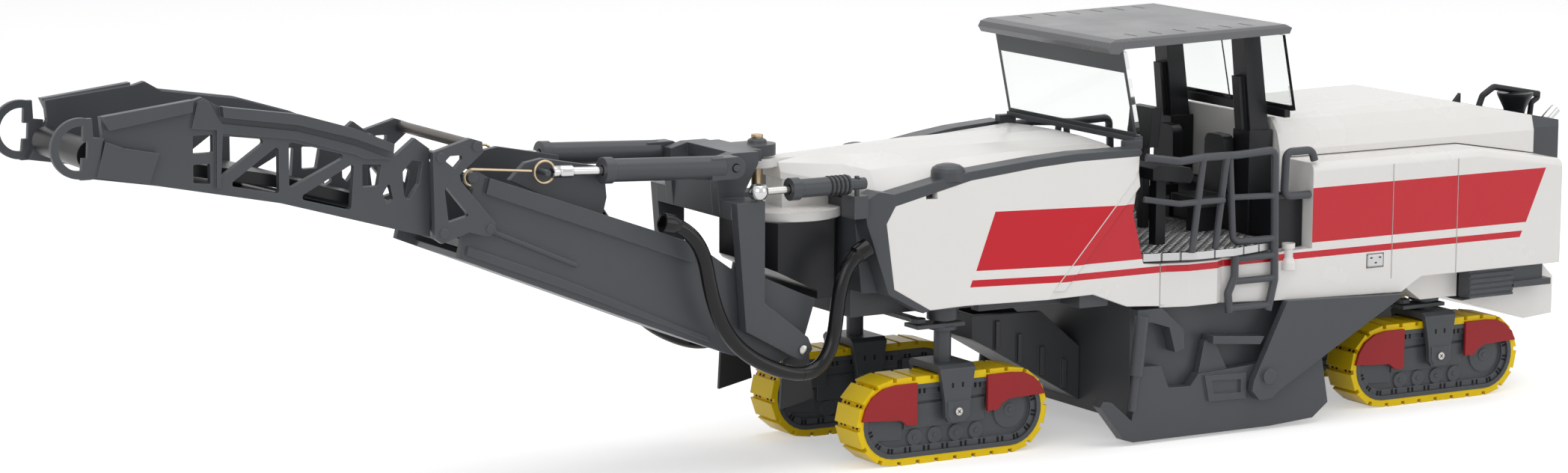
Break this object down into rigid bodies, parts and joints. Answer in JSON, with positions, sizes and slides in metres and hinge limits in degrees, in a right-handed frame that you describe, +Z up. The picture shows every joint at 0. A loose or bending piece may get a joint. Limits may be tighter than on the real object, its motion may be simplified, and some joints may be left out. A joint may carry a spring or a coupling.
{
  "type": "scale model of a cold planer milling machine",
  "caption": "Model of a four-crawler cold planer with a folding discharge conveyor, drum housing, canopy and railed operator platform.",
  "frame": {"origin": "on the floor under the middle of the model's length and width", "axes": "+X towards the engine end, away from the conveyor's tip; +Y to the machine's right; +Z up"},
  "size_m": [0.1806, 0.0328, 0.0426],
  "materials": {
    "grey_plastic": "satin dark grey moulded plastic",
    "black_plastic": "satin black moulded plastic",
    "black_hose": "glossy black plastic hose",
    "white_body": "gloss white moulded plastic with a bare red stripe",
    "yellow_track": "satin yellow moulded plastic",
    "red_plastic": "satin dark red moulded plastic",
    "silver_tread": "silver painted tread plate",
    "chrome_trim": "bright plated plastic",
    "steel_rod": "bright turned steel",
    "clear_window": "clear moulded glazing with a dark edge"
  },
  "bodies": {
    "root": {"chassis_frame": "grey_plastic", "side_panels": "white_body", "trim_frames": "grey_plastic", "deck_neck": "white_body", "transfer_hopper": "black_plastic", "rear_body": "white_body", "engine_hood": "white_body", "rear_cap": "grey_plastic", "exhaust_guard": "black_plastic", "exhaust_pipes": "chrome_trim", "counterweight": "white_body", "rear_lockers": "grey_plastic", "platform_floor": "silver_tread", "guard_rails": "grey_plastic", "operator_station": "black_plastic", "canopy_roof": "grey_plastic", "canopy_posts": "black_plastic", "windscreen": "clear_window", "rear_window": "clear_window", "drum_housing": "grey_plastic", "side_shields": "grey_plastic", "support_beams": "grey_plastic", "gathering_conveyor": "grey_plastic"},
    "crawler_front_left": {"track_loop_front_left": "yellow_track", "track_frame_front_left": "grey_plastic", "fenders_front_left": "red_plastic", "fork_front_left": "grey_plastic"},
    "crawler_front_right": {"track_loop_front_right": "yellow_track", "track_frame_front_right": "grey_plastic", "fenders_front_right": "red_plastic", "fork_front_right": "grey_plastic"},
    "crawler_rear_left": {"track_loop_rear_left": "yellow_track", "track_frame_rear_left": "grey_plastic", "fenders_rear_left": "red_plastic", "fork_rear_left": "grey_plastic"},
    "crawler_rear_right": {"track_loop_rear_right": "yellow_track", "track_frame_rear_right": "grey_plastic", "fenders_rear_right": "red_plastic", "fork_rear_right": "grey_plastic"},
    "tie_rod_front": {"tie_rod_front": "grey_plastic"},
    "tie_rod_rear": {"tie_rod_rear": "grey_plastic"},
    "slew_bracket": {"slew_bracket": "grey_plastic", "hose_loops": "black_hose"},
    "conveyor_rear": {"conveyor_trough": "grey_plastic", "conveyor_belt_rear": "black_plastic", "tail_flaps": "black_plastic"},
    "conveyor_front": {"conveyor_front_frame": "grey_plastic", "conveyor_belt_front": "black_plastic", "tip_guards": "grey_plastic", "fold_brackets": "grey_plastic"},
    "lift_barrels": {"lift_barrels": "grey_plastic"},
    "lift_rods": {"lift_rods": "steel_rod"},
    "slew_barrel_left": {"slew_barrel_left": "grey_plastic"},
    "slew_rod_left": {"slew_rod_left": "steel_rod"},
    "slew_barrel_right": {"slew_barrel_right": "grey_plastic"},
    "slew_rod_right": {"slew_rod_right": "steel_rod"},
    "milling_drum": {"milling_drum": "grey_plastic"}
  },
  "joints": [
    {"name": "steer_front_left", "type": "hinge", "parent": "root", "child": "crawler_front_left", "pos_m": [0.00501, -0.0085, 0.01], "axis": [0, 0, 1], "range_deg": [-12, 12]},
    {"name": "steer_front_right", "type": "hinge", "parent": "root", "child": "crawler_front_right", "pos_m": [0.00501, 0.0085, 0.01], "axis": [0, 0, 1], "range_deg": [-12, 12]},
    {"name": "tie_rod_front_pivot", "type": "hinge", "parent": "crawler_front_left", "child": "tie_rod_front", "pos_m": [0.00201, -0.0085, 0.01], "axis": [0, 0, 1], "range_deg": [-13, 13]},
    {"name": "steer_rear_left", "type": "hinge", "parent": "root", "child": "crawler_rear_left", "pos_m": [0.06741, -0.0085, 0.01], "axis": [0, 0, 1], "range_deg": [-12, 12]},
    {"name": "steer_rear_right", "type": "hinge", "parent": "root", "child": "crawler_rear_right", "pos_m": [0.06741, 0.0085, 0.01], "axis": [0, 0, 1], "range_deg": [-12, 12]},
    {"name": "tie_rod_rear_pivot", "type": "hinge", "parent": "crawler_rear_left", "child": "tie_rod_rear", "pos_m": [0.06441, -0.0085, 0.01], "axis": [0, 0, 1], "range_deg": [-13, 13]},
    {"name": "conveyor_slew", "type": "hinge", "parent": "root", "child": "slew_bracket", "pos_m": [-0.01199, 0, 0.031], "axis": [0, 0, 1], "range_deg": [-15, 15], "deforming": ["hose_loops"]},
    {"name": "conveyor_lift", "type": "hinge", "parent": "slew_bracket", "child": "conveyor_rear", "pos_m": [-0.01173, 0, 0.0126], "axis": [0, 1, 0], "range_deg": [-8, 10], "deforming": ["hose_loops"]},
    {"name": "conveyor_fold", "type": "hinge", "parent": "conveyor_rear", "child": "conveyor_front", "pos_m": [-0.04649, 0, 0.0275], "axis": [0, 1, 0], "range_deg": [0, 45]},
    {"name": "lift_barrel_pivot", "type": "hinge", "parent": "slew_bracket", "child": "lift_barrels", "pos_m": [-0.01874, 0, 0.03125], "axis": [0, 1, 0], "range_deg": [-12.5, 15.5]},
    {"name": "lift_rod_slide", "type": "slide", "parent": "lift_barrels", "child": "lift_rods", "axis": [-0.999, 0, 0.0455], "range_m": [-0.0034, 0.0028]},
    {"name": "drum_spin", "type": "hinge", "parent": "root", "child": "milling_drum", "pos_m": [0.03701, 0, 0.0047], "axis": [0, 1, 0], "continuous": true},
    {"name": "slew_barrel_pivot_left", "type": "hinge", "parent": "root", "child": "slew_barrel_left", "pos_m": [-0.00549, -0.0087, 0.0289], "axis": [0, 0, 1], "range_deg": [-7, 7]},
    {"name": "slew_rod_slide_left", "type": "slide", "parent": "slew_barrel_left", "child": "slew_rod_left", "axis": [-1, 0, 0], "range_m": [-0.0024, 0.0024]},
    {"name": "slew_barrel_pivot_right", "type": "hinge", "parent": "root", "child": "slew_barrel_right", "pos_m": [-0.00549, 0.0087, 0.0289], "axis": [0, 0, 1], "range_deg": [-7, 7]},
    {"name": "slew_rod_slide_right", "type": "slide", "parent": "slew_barrel_right", "child": "slew_rod_right", "axis": [-1, 0, 0], "range_m": [-0.0024, 0.0024]}
  ],
  "couplings": [
    {"joint": "steer_front_right", "follows": "steer_front_left", "ratio": 1},
    {"joint": "tie_rod_front_pivot", "follows": "steer_front_left", "ratio": -1},
    {"joint": "steer_rear_right", "follows": "steer_rear_left", "ratio": 1},
    {"joint": "tie_rod_rear_pivot", "follows": "steer_rear_left", "ratio": -1},
    {"joint": "lift_barrel_pivot", "follows": "conveyor_lift", "ratio": 1.4285},
    {"joint": "lift_rod_slide", "follows": "conveyor_lift", "m_per_rad": -0.01783},
    {"joint": "slew_barrel_pivot_left", "follows": "conveyor_slew", "ratio": 0.4277},
    {"joint": "slew_rod_slide_left", "follows": "conveyor_slew", "m_per_rad": -0.008683},
    {"joint": "slew_barrel_pivot_right", "follows": "conveyor_slew", "ratio": 0.4277},
    {"joint": "slew_rod_slide_right", "follows": "conveyor_slew", "m_per_rad": 0.008683}
  ]
}
